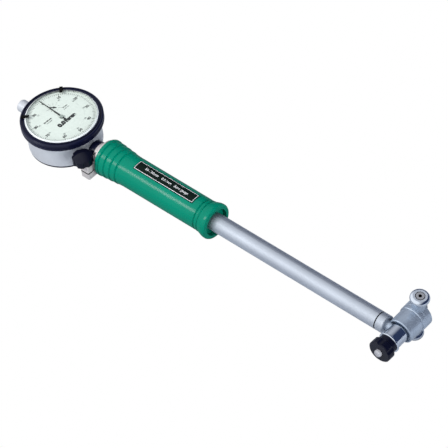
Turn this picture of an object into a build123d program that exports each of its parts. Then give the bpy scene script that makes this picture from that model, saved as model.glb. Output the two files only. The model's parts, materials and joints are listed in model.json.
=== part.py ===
from build123d import *
import math
import os

os.makedirs("parts", exist_ok=True)

# A dial bore gauge lying on its back. +X runs from the dial down the tube to the
# measuring head, +Y is the measuring axis towards the guide rollers and +Z is the
# way the dial faces. The origin is the centre of the dial's flat back cover.

# Whole gauge
axis_height = 10.0           # tube axis above the back cover
handle_start = 40.2          # dial centre to the handle's rear end
handle_length = 98.2
probe_depth = 150.0          # handle's front end to the measuring axis
measure_x = handle_start + handle_length + probe_depth

# Fits shared by many pieces
running_clearance = 0.05     # radial, shaft in its bearing
contact_gap = 0.03           # between pieces that push each other
part_gap = 0.2               # between faces that only come near
cut_over = 1.0               # how far a cutting shape runs past a face

# Dial indicator: case
case_radius = 25.6
case_wall = 1.5
case_shoulder_z = 18.7
spigot_radius = 24.5
spigot_height = 4.1
front_plate_thickness = 1.5
cover_radius = 25.3
cover_thickness = 2.0
cover_edge = 0.5
cover_screw_radius = 0.8
cover_screw_head_radius = 1.5
cover_screw_head_height = 0.7
cover_screw_length = 5.0
cover_screw_circle = 21.6
cover_boss_radius = 2.7
cover_boss_height = 6.0
cover_screw_count = 4
stem_boss_radius = 5.4
stem_boss_end = 27.4
cap_boss_radius = 4.9
cap_boss_end = 26.6

# Dial indicator: bezel, crystal and dial
bezel_radius = 28.5
window_radius = 25.15
bezel_bottom_z = 18.9
bezel_top_z = 24.4
bezel_edge = 0.7
bezel_groove_depth = 0.5
bezel_groove_height = 0.8
crystal_radius = 25.9
crystal_thickness = 0.7
crystal_flange = 0.4         # thickness of the crystal's flange under the bezel
crystal_stand = 0.7          # crystal's top above the bezel's top
crystal_top_radius = 24.1
crystal_side_drop = 0.1      # crystal's bevel starts this far below the bezel's top
dial_ring_thickness = 0.3
dial_split_radius = 15.6
dial_centre_hole = 1.6
marker_width = 2.3
marker_reach = 3.2           # marker's nose inside the window's edge
marker_thickness = 0.4
marker_heel = 0.3            # marker's plate beyond its groove
marker_groove_inner = 26.2
marker_groove_outer = 27.2
marker_groove_depth = 0.6
marker_angle_a = 45.0        # degrees round the dial from the zero mark
marker_angle_b = -40.0

# Dial indicator: spindle and stem
spindle_radius = 2.0
spindle_start = -36.0
spindle_end = 44.9
contact_length = 3.6
contact_radius = 2.2
stem_radius = 4.0
stem_start = 24.6
stem_end = 43.4
cap_end = -42.1
cap_start = -22.6
cap_radius = 4.5
cap_edge = 1.2
cap_bore_end = -39.4

# Dial indicator: movement
rack_pitch = 0.625
rack_teeth = 17
rack_addendum = 0.17
rack_dedendum = 0.26
rack_pinion_teeth = 16
rack_pinion_height = 3.0
gear_module = 0.2
gear_teeth = 100
centre_pinion_teeth = 10
gear_thickness = 0.5
gear_z = 17.5
tooth_width_share = 0.36     # tooth thickness at the pitch line over the pitch
tooth_tip_share = 0.2        # tooth thickness at its tip over the pitch
tooth_root_share = 0.6       # half thickness at the root over the thickness at the pitch line
tooth_rise_share = 0.85      # tooth height above the pitch line over the module
tooth_fall_share = 1.25      # tooth depth below the pitch line over the module
arbor_radius = 0.6
pivot_radius = 0.4
arbor_offset = 3.1           # rack pinion's centre beside the spindle's axis
hairspring_radius = 4.2
hairspring_pitch = 0.7
hairspring_turns = 5
hairspring_width = 0.3
hairspring_strip = 0.12
plate_thickness = 1.4
lower_plate_z = 4.6
upper_plate_z = 15.0
plate_radius = 18.6
pillar_radius = 1.5
pillar_pin_radius = 0.9
pillar_circle = 17.0
pillar_angle = 53.0          # degrees each side of the line through the gears' centres
pointer_angle = 3.4          # degrees past the zero mark
pointer_length = 22.4
pointer_tail = 5.0
pointer_root_width = 1.1
pointer_tip_width = 0.35
pointer_thickness = 0.2
pointer_hub_radius = 1.5
pointer_hub_height = 0.3
pointer_gap = 0.45           # large pointer above the dial
counter_length = 3.9
counter_tail = 1.7
counter_root_width = 0.7
counter_hub_radius = 0.8
counter_gap = 0.1            # small pointer above the dial
counter_angle = 217.0        # small pointer's direction from +X, in degrees

# Clamp between the indicator and the handle
stem_ring_start = 28.2
stem_ring_end = 33.8
stem_ring_radius = 7.2
stem_ring_edge = 0.8
collar_start = 34.0
flange_start = 38.2
flange_radius = 11.6
flange_edge = 0.5
hub_radius = 7.4
ear_start = 31.2
ear_reach = 17.3             # ears' far face from the tube axis, towards -Y
ear_inner = 8.8
ear_top = 3.35               # above the tube axis
ear_bottom = 9.3             # below the tube axis
ear_edge = 0.7
slit_centre = 3.8            # slit below the tube axis
slit_width = 0.8
socket_radius = 8.0
socket_end = 56.0
tube_seat_start = 46.0
clamp_screw_x = 33.0
clamp_screw_y = -15.0
clamp_screw_radius = 1.5
clamp_screw_tip = 7.8        # below the tube axis
knob_radius = 7.1
knob_height = 6.7
knob_dome = 1.8
knob_lobes = 6
knob_flute_radius = 2.3
knob_flute_depth = 0.75
knob_base_gap = 0.25

# Handle and its plate
handle_rear_radius = 13.3
handle_waist_radius = 11.35
handle_front_radius = 12.7
handle_round = 1.3
groove_count = 4
groove_first = 3.5           # first groove from the handle's rear end
groove_pitch = 4.85
groove_depth = 0.75
groove_half_width = 0.75
rib_step = 0.42              # how much each rib is smaller than the last
waist_start = 22.6           # from the rear end
front_groove_first = 10.8    # from the front end
front_groove_pitch = 3.1
front_groove_depth = 0.8
front_flare = 2.6            # length of the widest part at the front end
recess_radius = 9.6
recess_depth = 3.2
plate_start = 29.4           # label plate from the rear end
plate_span = 52.0
plate_chord = 8.0
plate_sheet = 0.3

# Tube, push rod and ferrule
tube_radius = 6.2
tube_bore_radius = 3.6
tube_edge = 0.3
ferrule_length = 6.0
ferrule_edge = 0.5
ferrule_head_gap = 0.35      # ferrule's end to the head's side
push_rod_radius = 1.5
push_rod_chamfer = 0.4
bush_length = 8.0
bush_start = 60.0
spigot_tube_reach = 11.0     # head's spigot inside the tube
head_spigot_radius = 3.55

# Measuring head
head_radius = 8.85
head_mouth = 0.6             # head's open end from the tube axis, towards +Y
head_end = 15.4
head_edge = 0.45
mouth_recess_radius = 7.9
mouth_recess_depth = 1.4
head_boss_radius = 5.4
head_boss_reach = 3.4
sleeve_radius = 6.5
sleeve_seat = 2.7
sleeve_end = 9.2             # towards -Y
sleeve_floor = 3.7
sleeve_rod_hole = 1.9
lever_arm = 3.6
lever_ball_radius = 1.0
lever_bar_radius = 0.65
lever_hub_radius = 1.3
lever_pin_radius = 0.6
lever_pin_bottom = 7.9
lever_pin_top = 4.4
lever_pocket_half = 1.55
lever_pocket_margin = 0.5

# Movable measuring plunger
plunger_radius = 2.5
plunger_shank_radius = 0.9
plunger_shank_length = 2.2
plunger_reach = 26.0
plunger_flange_radius = 4.1
plunger_flange_thickness = 1.0
plunger_chamber_radius = 4.25
plunger_chamber_start = 8.8
retainer_start = 13.9
tip_ball_radius = 1.6
tip_stand = 1.4              # ball's crown beyond the plunger's end
plunger_nose = 1.0
spring_wire = 0.3
plunger_spring_turns = 4

# Guide bridge and rollers
bridge_radius = 9.5
bridge_start = 12.2
bridge_end = 20.8
bridge_wall_start = 18.0
bridge_turn = 8.5            # guide's set about the measuring axis, in degrees
bridge_edge = 0.5
bridge_line = 15.6           # fine groove round the bridge
bridge_line_depth = 0.25
bridge_line_width = 0.5
arm_radius = 4.4
arm_flat = 3.2               # arm's flats from its axis, along Y
roller_y = 17.3
roller_offset = 18.4         # roller's middle plane from the measuring axis
roller_radius = 6.4
roller_thickness = 4.4
roller_crown = 1.8
roller_recess_radius = 3.2
roller_recess_depth = 0.9
roller_boss_radius = 3.7
roller_boss_gap = 0.12
roller_screw_radius = 1.8
roller_thread_radius = 1.2
roller_thread_depth = 6.0
roller_head_radius = 2.7
roller_socket_radius = 1.1
roller_socket_depth = 1.4
bridge_pin_radius = 1.0
bridge_pin_offset = 6.0
bridge_pin_start = 9.0
bridge_travel = 2.4
bridge_pin_seat = 1.2
bridge_spring_radius = 1.3
bridge_spring_start = 9.6
bridge_spring_turns = 6
bridge_pocket_radius = 1.65

# Fixed anvil, spacer and lock nut
anvil_radius = 2.5
anvil_start = 4.2
anvil_tip = 22.3
anvil_round = 1.1
spacer_radius = 7.35
spacer_thickness = 1.5
spacer_edge = 0.35
nut_neck_radius = 6.4
nut_neck_length = 3.4
nut_radius = 8.0
nut_length = 5.8
nut_edge = 0.7
nut_lobes = 6
nut_flute_radius = 2.6
nut_flute_depth = 0.8

# Places worked out from the sizes above
tube_end = measure_x - head_radius - ferrule_head_gap - ferrule_length
ferrule_end = tube_end + ferrule_length
front_plate_top = case_shoulder_z + spigot_height
front_plate_bottom = front_plate_top - front_plate_thickness
crystal_top = bezel_top_z + crystal_stand
dial_bottom = front_plate_top + 2 * part_gap
dial_top = dial_bottom + dial_ring_thickness
crystal_flange_top = dial_top + crystal_flange
pointer_bottom = dial_top + pointer_gap
counter_bottom = dial_top + counter_gap
rack_pinion_radius = rack_pitch * rack_pinion_teeth / (2 * math.pi)
gear_radius = gear_module * gear_teeth / 2
centre_pinion_radius = gear_module * centre_pinion_teeth / 2
gear_distance = gear_radius + centre_pinion_radius
arbor_x = math.sqrt(gear_distance ** 2 - arbor_offset ** 2)
lever_pivot = (measure_x - lever_arm, lever_arm)
rod_end = measure_x - lever_arm - lever_ball_radius - contact_gap
rod_start = spindle_end + contact_length + contact_gap
plunger_back = lever_arm + lever_ball_radius + contact_gap
nut_start = sleeve_end + spacer_thickness
tube_axis = Axis((0, 0, axis_height), (1, 0, 0))
measuring_axis = Axis((measure_x, 0, axis_height), (0, 1, 0))


def outline_face(points):
    return make_face(Polyline(*points, close=True))


def turned_x(points):
    """A solid turned round the tube axis from (x, radius) points."""
    return revolve(outline_face([(x, 0, axis_height + r) for x, r in points]), tube_axis)


def turned_y(points):
    """A solid turned round the measuring axis from (y, radius) points."""
    return revolve(outline_face([(measure_x + r, y, axis_height) for y, r in points]), measuring_axis)


def turned_z(points, x=0, y=0):
    """A solid turned round an upright axis from (radius, z) points."""
    return revolve(outline_face([(x + r, y, z) for r, z in points]), Axis((x, y, 0), (0, 0, 1)))


def rod_x(radius, start, end, y=0, z=axis_height):
    return extrude(Plane((start, y, z), z_dir=(1, 0, 0)) * Circle(radius), end - start)


def rod_y(radius, start, end, x=measure_x, z=axis_height):
    return extrude(Plane((x, start, z), z_dir=(0, 1, 0)) * Circle(radius), end - start)


def rod_z(radius, start, end, x=0, y=0):
    return extrude(Plane((x, y, start), z_dir=(0, 0, 1)) * Circle(radius), end - start)


def block(low, high):
    size = [b - a for a, b in zip(low, high)]
    middle = [(a + b) / 2 for a, b in zip(low, high)]
    return Pos(*middle) * Box(*size)


def spring(radius, wire, turns, start, end, x, z):
    """A coil spring along +Y between two planes, its wire's outside at the given radius."""
    middle = radius - wire / 2
    length = end - start - wire
    plane = Plane((x, start + wire / 2, z), x_dir=(1, 0, 0), z_dir=(0, 1, 0))
    path = plane * Helix(pitch=length / turns, height=length, radius=middle)
    section = Plane(path @ 0, z_dir=path % 0) * Circle(wire / 2)
    return sweep(section, path, is_frenet=True)


def gear_blank(teeth, pitch_radius, module, first_angle, x, y, start, end):
    """A spur gear with straight-sided teeth. One tooth points along first_angle, in degrees."""
    root = pitch_radius - module * tooth_fall_share
    tip = pitch_radius + module * tooth_rise_share
    step = 2 * math.pi / teeth
    points = []
    for i in range(teeth):
        middle = math.radians(first_angle) + i * step
        root_half = step * tooth_width_share * pitch_radius / root * tooth_root_share
        tip_half = step * tooth_tip_share * pitch_radius / tip / 2
        for radius, angle in ((root, middle - root_half), (tip, middle - tip_half),
                              (tip, middle + tip_half), (root, middle + root_half)):
            points.append((x + radius * math.cos(angle), y + radius * math.sin(angle), start))
    return extrude(outline_face(points), end - start, dir=(0, 0, 1))


def lobed(radius, lobes, flute_radius, flute_depth, length):
    """A round bar on +Z with scooped flutes between its lobes."""
    bar = Circle(radius)
    for i in range(lobes):
        angle = 2 * math.pi * (i + 0.5) / lobes
        reach = radius - flute_depth + flute_radius
        bar -= Pos(reach * math.cos(angle), reach * math.sin(angle)) * Circle(flute_radius)
    return extrude(bar, length)


def on_dial(radius, degrees, z=0):
    """A place on the dial, its angle counted clockwise from the zero mark."""
    angle = math.radians(degrees)
    return (-radius * math.cos(angle), radius * math.sin(angle), z)


def cover_screw_places():
    step = 360 / cover_screw_count
    return [on_dial(cover_screw_circle, step * (i + 0.5)) for i in range(cover_screw_count)]


def pillar_places():
    line = math.atan2(-arbor_offset, arbor_x)
    turn = math.radians(pillar_angle)
    angles = [line - turn, line + turn, line + math.pi - turn, line + math.pi + turn]
    return [(pillar_circle * math.cos(a), pillar_circle * math.sin(a)) for a in angles]


def make_case():
    outer = turned_z([(0, cover_thickness), (case_radius, cover_thickness), (case_radius, case_shoulder_z),
                      (spigot_radius, case_shoulder_z), (spigot_radius, front_plate_top), (0, front_plate_top)])
    stem_boss = rod_x(stem_boss_radius, case_radius - 2 * case_wall, stem_boss_end)
    cap_boss = rod_x(cap_boss_radius, -cap_boss_end, 2 * case_wall - case_radius)
    room = rod_z(case_radius - case_wall, 0, front_plate_bottom)
    case = outer + stem_boss + cap_boss - room
    for x, y, _ in cover_screw_places():
        case += rod_z(cover_boss_radius, cover_thickness, cover_thickness + cover_boss_height, x, y)
        case -= rod_z(cover_screw_radius, 0, cover_thickness + cover_screw_length + part_gap, x, y)
    for x, y in pillar_places():
        case += rod_z(pillar_radius, upper_plate_z + plate_thickness, front_plate_bottom, x, y)
        case -= rod_z(pillar_pin_radius, 0, front_plate_bottom, x, y)
    case -= rod_x(stem_radius, case_radius - 3 * case_wall, stem_boss_end + cut_over)
    case -= rod_x(cap_radius - cap_edge, -cap_boss_end - cut_over, 3 * case_wall - case_radius)
    case -= rod_z(dial_centre_hole, front_plate_bottom - cut_over, front_plate_top + cut_over)
    case -= rod_z(arbor_radius + running_clearance, front_plate_bottom - cut_over, front_plate_top + cut_over,
                  -arbor_x, arbor_offset)
    case -= rod_z(pivot_radius + running_clearance, front_plate_bottom - cut_over,
                  front_plate_bottom + front_plate_thickness / 2, arbor_x, -arbor_offset)
    return case


def make_back_cover():
    cover = turned_z([(0, 0), (cover_radius - cover_edge, 0), (cover_radius, cover_edge),
                      (cover_radius, cover_thickness), (0, cover_thickness)])
    for x, y, _ in cover_screw_places():
        cover -= rod_z(cover_screw_head_radius, 0, cover_screw_head_height, x, y)
        cover -= rod_z(cover_screw_radius, 0, cover_thickness, x, y)
    return cover


def make_cover_screws():
    screws = []
    for x, y, _ in cover_screw_places():
        head = rod_z(cover_screw_head_radius, part_gap / 2, cover_screw_head_height, x, y)
        shank = rod_z(cover_screw_radius, cover_screw_head_height, cover_thickness + cover_screw_length, x, y)
        slot = block((x - cover_screw_head_radius, y - part_gap, 0),
                     (x + cover_screw_head_radius, y + part_gap, cover_screw_head_height / 2))
        screws.append(head + shank - slot)
    return Compound(children=screws)


def make_stem():
    stem = turned_x([(stem_start, 0), (stem_start, stem_radius), (stem_end - part_gap, stem_radius),
                     (stem_end, stem_radius - part_gap), (stem_end, 0)])
    return stem - rod_x(spindle_radius + running_clearance, stem_start - cut_over, stem_end + cut_over)


def make_spindle_cap():
    thread_radius = cap_radius - cap_edge
    cap = turned_x([(cap_start, 0), (cap_start, thread_radius), (-cap_boss_end, thread_radius),
                    (-cap_boss_end, cap_radius), (cap_end + cap_edge, cap_radius),
                    (cap_end + cap_edge / 3, cap_radius - cap_edge / 3),
                    (cap_end, cap_radius - cap_edge), (cap_end, 0)])
    return cap - rod_x(spindle_radius + running_clearance, cap_bore_end, cap_start + cut_over)


def make_spindle():
    spindle = rod_x(spindle_radius, spindle_start, spindle_end)
    pitch_line = arbor_offset - rack_pinion_radius
    rack_start = arbor_x - rack_pitch * rack_teeth / 2
    rack_end = arbor_x + rack_pitch * rack_teeth / 2
    root = rack_dedendum - pitch_line
    tip = -rack_addendum - pitch_line
    root_half = rack_pitch * tooth_width_share * tooth_root_share
    tip_half = rack_pitch * tooth_tip_share / 2
    outside = -spindle_radius - cut_over
    points = [(rack_start, outside), (rack_start, root)]
    for i in range(1, rack_teeth):
        middle = rack_start + i * rack_pitch
        points += [(middle - root_half, root), (middle - tip_half, tip),
                   (middle + tip_half, tip), (middle + root_half, root)]
    points += [(rack_end, root), (rack_end, outside)]
    low = axis_height + outside
    cut = extrude(outline_face([(x, y, low) for x, y in points]), -2 * outside, dir=(0, 0, 1))
    return spindle - cut


def make_contact_point():
    end = spindle_end + contact_length
    return turned_x([(spindle_end, 0), (spindle_end, contact_radius), (end - contact_radius / 2, contact_radius),
                     (end - contact_radius / 5, contact_radius / 2), (end, contact_radius / 5), (end, 0)])


def movement_plate(z, holes):
    plate = rod_z(plate_radius, z, z + plate_thickness)
    for x, y in pillar_places():
        plate -= rod_z(pillar_pin_radius, z, z + plate_thickness, x, y)
    for radius, x, y in holes:
        plate -= rod_z(radius + running_clearance, z, z + plate_thickness, x, y)
    return plate


def make_lower_plate():
    return movement_plate(lower_plate_z, [(pivot_radius, arbor_x, -arbor_offset),
                                          (pivot_radius, -arbor_x, arbor_offset)])


def make_upper_plate():
    return movement_plate(upper_plate_z, [(arbor_radius, arbor_x, -arbor_offset),
                                          (arbor_radius, -arbor_x, arbor_offset), (arbor_radius, 0, 0)])


def make_pillars():
    pillars = []
    for x, y in pillar_places():
        thick = rod_z(pillar_radius, lower_plate_z + plate_thickness, upper_plate_z, x, y)
        thin = rod_z(pillar_pin_radius, lower_plate_z, front_plate_bottom, x, y)
        pillars.append(thick + thin)
    return Compound(children=pillars)


def make_rack_gear():
    """Arbor with the pinion that the rack turns and the large gear that turns the centre pinion."""
    x, y = arbor_x, -arbor_offset
    towards_centre = math.degrees(math.atan2(-y, -x))
    arbor = rod_z(arbor_radius, lower_plate_z + plate_thickness, front_plate_bottom, x, y)
    pivots = rod_z(pivot_radius, lower_plate_z, front_plate_bottom + front_plate_thickness / 2 - part_gap, x, y)
    pinion = gear_blank(rack_pinion_teeth, rack_pinion_radius, rack_pitch / math.pi, 90, x, y,
                        axis_height - rack_pinion_height / 2, axis_height + rack_pinion_height / 2)
    wheel = gear_blank(gear_teeth, gear_radius, gear_module, towards_centre, x, y, gear_z, gear_z + gear_thickness)
    return arbor + pivots + pinion + wheel


def make_centre_pinion():
    """Centre arbor, its pinion between the upper plate and the case's front plate."""
    pinion_bottom = upper_plate_z + plate_thickness + part_gap
    between_teeth = math.degrees(math.atan2(-arbor_offset, arbor_x)) + 180 / centre_pinion_teeth
    pinion = gear_blank(centre_pinion_teeth, centre_pinion_radius, gear_module, between_teeth, 0, 0,
                        pinion_bottom, front_plate_bottom - part_gap)
    return pinion + rod_z(arbor_radius, upper_plate_z, pointer_bottom)


def make_counter_gear():
    """Take-up gear on the far side of the centre pinion, whose arbor carries the small pointer."""
    x, y = -arbor_x, arbor_offset
    towards_centre = math.degrees(math.atan2(-y, -x))
    wheel = gear_blank(gear_teeth, gear_radius, gear_module, towards_centre, x, y, gear_z, gear_z + gear_thickness)
    arbor = rod_z(arbor_radius, lower_plate_z + plate_thickness, counter_bottom, x, y)
    return wheel + arbor + rod_z(pivot_radius, lower_plate_z, lower_plate_z + plate_thickness, x, y)


def make_hairspring():
    """Spiral strip under the take-up gear, from its arbor to a stud on the lower plate."""
    x, y = -arbor_x, arbor_offset
    z = lower_plate_z + plate_thickness + 2 * part_gap
    rings = []
    for i in range(hairspring_turns):
        radius = hairspring_radius - i * hairspring_pitch
        rings.append(rod_z(radius, z, z + hairspring_width, x, y)
                     - rod_z(radius - hairspring_strip, z, z + hairspring_width, x, y))
    spoke = block((x + arbor_radius + part_gap, y - hairspring_strip / 2, z),
                  (x + hairspring_radius, y + hairspring_strip / 2, z + hairspring_width))
    stud = rod_z(hairspring_width, lower_plate_z + plate_thickness, z + hairspring_width, x + hairspring_radius, y)
    whole = spoke + stud
    for ring in rings:
        whole += ring
    return whole


def blade(length, tail, root_width, direction):
    """A flat tapered pointer from its arbor at the origin, lying along a direction in degrees."""
    outline = Polyline((-tail, root_width / 2), (-tail, -root_width / 2), (0, -root_width / 2),
                       (length, -pointer_tip_width / 2), (length, pointer_tip_width / 2), (0, root_width / 2),
                       close=True)
    return Rot(0, 0, direction) * extrude(make_face(outline), pointer_thickness)


def make_main_pointer():
    flat = Pos(0, 0, pointer_bottom) * blade(pointer_length, pointer_tail, pointer_root_width, 180 - pointer_angle)
    return flat + rod_z(pointer_hub_radius, pointer_bottom, pointer_bottom + pointer_hub_height)


def make_counter_pointer():
    x, y = -arbor_x, arbor_offset
    flat = Pos(x, y, counter_bottom) * blade(counter_length, counter_tail, counter_root_width, counter_angle)
    return flat + rod_z(counter_hub_radius, counter_bottom, counter_bottom + pointer_thickness, x, y)


def make_dial_centre():
    disc = rod_z(dial_split_radius - running_clearance, front_plate_top, dial_top)
    disc -= rod_z(dial_centre_hole, front_plate_top, dial_top)
    return disc - rod_z(arbor_radius + part_gap, front_plate_top, dial_top, -arbor_x, arbor_offset)


def flat_ring(inner, outer, low, high):
    return rod_z(outer, low, high) - rod_z(inner, low, high)


def make_dial_ring():
    return flat_ring(dial_split_radius, crystal_radius, dial_bottom, dial_top)


def make_bezel():
    middle = (bezel_bottom_z + bezel_top_z) / 2
    half = bezel_groove_height / 2
    return turned_z([
        (spigot_radius + running_clearance, bezel_bottom_z), (bezel_radius - bezel_edge, bezel_bottom_z),
        (bezel_radius, bezel_bottom_z + bezel_edge), (bezel_radius, middle - half),
        (bezel_radius - bezel_groove_depth, middle - half / 2), (bezel_radius - bezel_groove_depth, middle + half / 2),
        (bezel_radius, middle + half), (bezel_radius, bezel_top_z - bezel_edge),
        (bezel_radius - bezel_edge, bezel_top_z), (marker_groove_outer, bezel_top_z),
        (marker_groove_outer, bezel_top_z - marker_groove_depth),
        (marker_groove_inner, bezel_top_z - marker_groove_depth), (marker_groove_inner, bezel_top_z),
        (window_radius, bezel_top_z), (window_radius, crystal_flange_top), (crystal_radius, crystal_flange_top),
        (crystal_radius, dial_bottom), (spigot_radius + running_clearance, dial_bottom)])


def make_crystal():
    """Clear cup with a bevelled edge that stands proud of the bezel, its flange under the bezel's lip."""
    side = window_radius - running_clearance
    inside = window_radius - crystal_thickness
    ceiling = crystal_top - crystal_thickness
    return turned_z([
        (0, ceiling), (crystal_top_radius - crystal_thickness / 2, ceiling), (inside, crystal_flange_top),
        (inside, dial_top), (crystal_radius, dial_top), (crystal_radius, crystal_flange_top),
        (side, crystal_flange_top), (side, bezel_top_z - crystal_side_drop), (crystal_top_radius, crystal_top),
        (0, crystal_top)])


def make_marker(degrees):
    """Limit marker with a foot in the bezel's top groove and its nose over the edge of the dial."""
    low = bezel_top_z + contact_gap
    nose = crystal_top + contact_gap
    high = nose + marker_thickness
    floor = bezel_top_z - marker_groove_depth + running_clearance
    heel = marker_groove_outer + marker_heel
    plate = flat_ring(window_radius - marker_reach, heel, nose, high)
    shoulder = flat_ring(window_radius + part_gap, heel, low, nose)
    foot = flat_ring(marker_groove_inner + running_clearance, marker_groove_outer - running_clearance,
                     floor, low)
    strip = block((0, -marker_width / 2, floor), (bezel_radius, marker_width / 2, high))
    return Rot(0, 0, 180 - degrees) * ((plate + shoulder + foot) & strip)


def make_stem_ring():
    bore = stem_radius + running_clearance
    return turned_x([(stem_ring_start, bore), (stem_ring_start, stem_ring_radius - stem_ring_edge),
                     (stem_ring_start + stem_ring_edge, stem_ring_radius), (stem_ring_end, stem_ring_radius),
                     (stem_ring_end, bore)])


def make_clamp_collar():
    body = turned_x([(collar_start, 0), (collar_start, hub_radius), (flange_start, hub_radius),
                     (flange_start, flange_radius - flange_edge), (flange_start + flange_edge, flange_radius),
                     (handle_start - flange_edge, flange_radius), (handle_start, flange_radius - flange_edge),
                     (handle_start, socket_radius), (socket_end, socket_radius), (socket_end, 0)])
    ears = block((ear_start, -ear_reach, axis_height - ear_bottom),
                 (flange_start + flange_edge, -ear_inner, axis_height + ear_top))
    foot = block((collar_start, -ear_inner - ear_edge, axis_height - ear_bottom),
                 (flange_start + flange_edge, 0, axis_height + ear_top))
    upright = ears.edges().filter_by(Axis.Z)
    ears = chamfer(upright.filter_by(lambda e: e.center().Y < -ear_inner - ear_edge), ear_edge)
    body += ears + foot
    body -= block((ear_start - cut_over, -ear_reach - cut_over, axis_height - slit_centre - slit_width / 2),
                  (flange_start - part_gap, 0, axis_height - slit_centre + slit_width / 2))
    body -= rod_z(knob_radius + part_gap, axis_height + ear_top, axis_height + flange_radius,
                  clamp_screw_x, clamp_screw_y)
    body -= rod_x(stem_radius + running_clearance, collar_start - cut_over, tube_seat_start + cut_over)
    body -= rod_x(tube_radius, tube_seat_start, socket_end + cut_over)
    body -= rod_z(clamp_screw_radius + running_clearance, axis_height - slit_centre, axis_height + ear_top + cut_over,
                  clamp_screw_x, clamp_screw_y)
    return body - rod_z(clamp_screw_radius + running_clearance, axis_height - clamp_screw_tip - part_gap,
                        axis_height - slit_centre, clamp_screw_x, clamp_screw_y)


def make_clamp_screw():
    top = axis_height + ear_top + knob_base_gap + knob_height / 2
    return rod_z(clamp_screw_radius, axis_height - clamp_screw_tip, top, clamp_screw_x, clamp_screw_y)


def make_clamp_knob():
    bottom = axis_height + ear_top + knob_base_gap
    bar = Pos(clamp_screw_x, clamp_screw_y, bottom) * lobed(knob_radius, knob_lobes, knob_flute_radius,
                                                             knob_flute_depth, knob_height)
    top = bottom + knob_height
    shoulder = top - knob_dome
    ball = (knob_radius ** 2 + knob_dome ** 2) / (2 * knob_dome)
    dome = Pos(clamp_screw_x, clamp_screw_y, top - ball) * Sphere(ball)
    column = rod_z(knob_radius, bottom, shoulder, clamp_screw_x, clamp_screw_y)
    bar = bar & (column + (dome & rod_z(knob_radius, shoulder, top, clamp_screw_x, clamp_screw_y)))
    return bar - rod_z(clamp_screw_radius, bottom, bottom + knob_height / 2, clamp_screw_x, clamp_screw_y)


def handle_outline():
    """Outside of the handle as (x, radius) points, from its rear end to its front end."""
    rear = handle_start
    front = handle_start + handle_length
    points = [(rear, handle_rear_radius - handle_round),
              (rear + handle_round / 3, handle_rear_radius - handle_round / 3),
              (rear + handle_round, handle_rear_radius)]
    radius = handle_rear_radius
    for i in range(groove_count):
        x = rear + groove_first + i * groove_pitch
        points += [(x - groove_half_width, radius), (x, radius - groove_depth)]
        radius -= rib_step
        points.append((x + groove_half_width, radius))
    points.append((rear + waist_start, handle_waist_radius))
    x = front - front_groove_first
    points += [(x - groove_half_width, handle_waist_radius - part_gap), (x, handle_waist_radius - front_groove_depth),
               (x + groove_half_width, handle_waist_radius - part_gap)]
    x += front_groove_pitch
    points += [(x - groove_half_width, handle_waist_radius), (x, handle_waist_radius - front_groove_depth / 2),
               (x + groove_half_width, handle_waist_radius + part_gap)]
    points += [(front - front_flare - handle_round, handle_front_radius - part_gap),
               (front - front_flare, handle_front_radius), (front - handle_round, handle_front_radius),
               (front - handle_round / 3, handle_front_radius - handle_round / 3),
               (front, handle_front_radius - handle_round)]
    return points


def make_handle():
    front = handle_start + handle_length
    tube_bore = tube_radius + contact_gap
    socket_bore = socket_radius + contact_gap
    inside = [(front, recess_radius), (front - recess_depth, recess_radius), (front - recess_depth, tube_bore),
              (socket_end + part_gap, tube_bore), (socket_end + part_gap, socket_bore), (handle_start, socket_bore)]
    return turned_x(handle_outline() + inside)


def make_label_plate():
    start = handle_start + plate_start
    end = start + plate_span
    inner = handle_waist_radius + contact_gap
    ring = rod_x(inner + plate_sheet, start, end) - rod_x(inner, start, end)
    return ring & block((start, -plate_chord / 2, axis_height), (end, plate_chord / 2, axis_height + 2 * inner))


def make_tube():
    return turned_x([(tube_seat_start, tube_bore_radius), (tube_seat_start, tube_radius),
                     (tube_end - tube_edge, tube_radius), (tube_end, tube_radius - tube_edge),
                     (tube_end, tube_bore_radius)])


def make_ferrule():
    return turned_x([(tube_end, tube_bore_radius), (tube_end, tube_radius - ferrule_edge),
                     (tube_end + ferrule_edge, tube_radius), (ferrule_end - ferrule_edge, tube_radius),
                     (ferrule_end, tube_radius - ferrule_edge), (ferrule_end, tube_bore_radius)])


def make_rod_bush():
    return rod_x(tube_bore_radius, bush_start, bush_start + bush_length) \
        - rod_x(push_rod_radius + running_clearance, bush_start, bush_start + bush_length)


def make_push_rod():
    return turned_x([(rod_start, 0), (rod_start, push_rod_radius - push_rod_chamfer),
                     (rod_start + push_rod_chamfer, push_rod_radius), (rod_end - push_rod_chamfer, push_rod_radius),
                     (rod_end, push_rod_radius - push_rod_chamfer), (rod_end, 0)])


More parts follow.
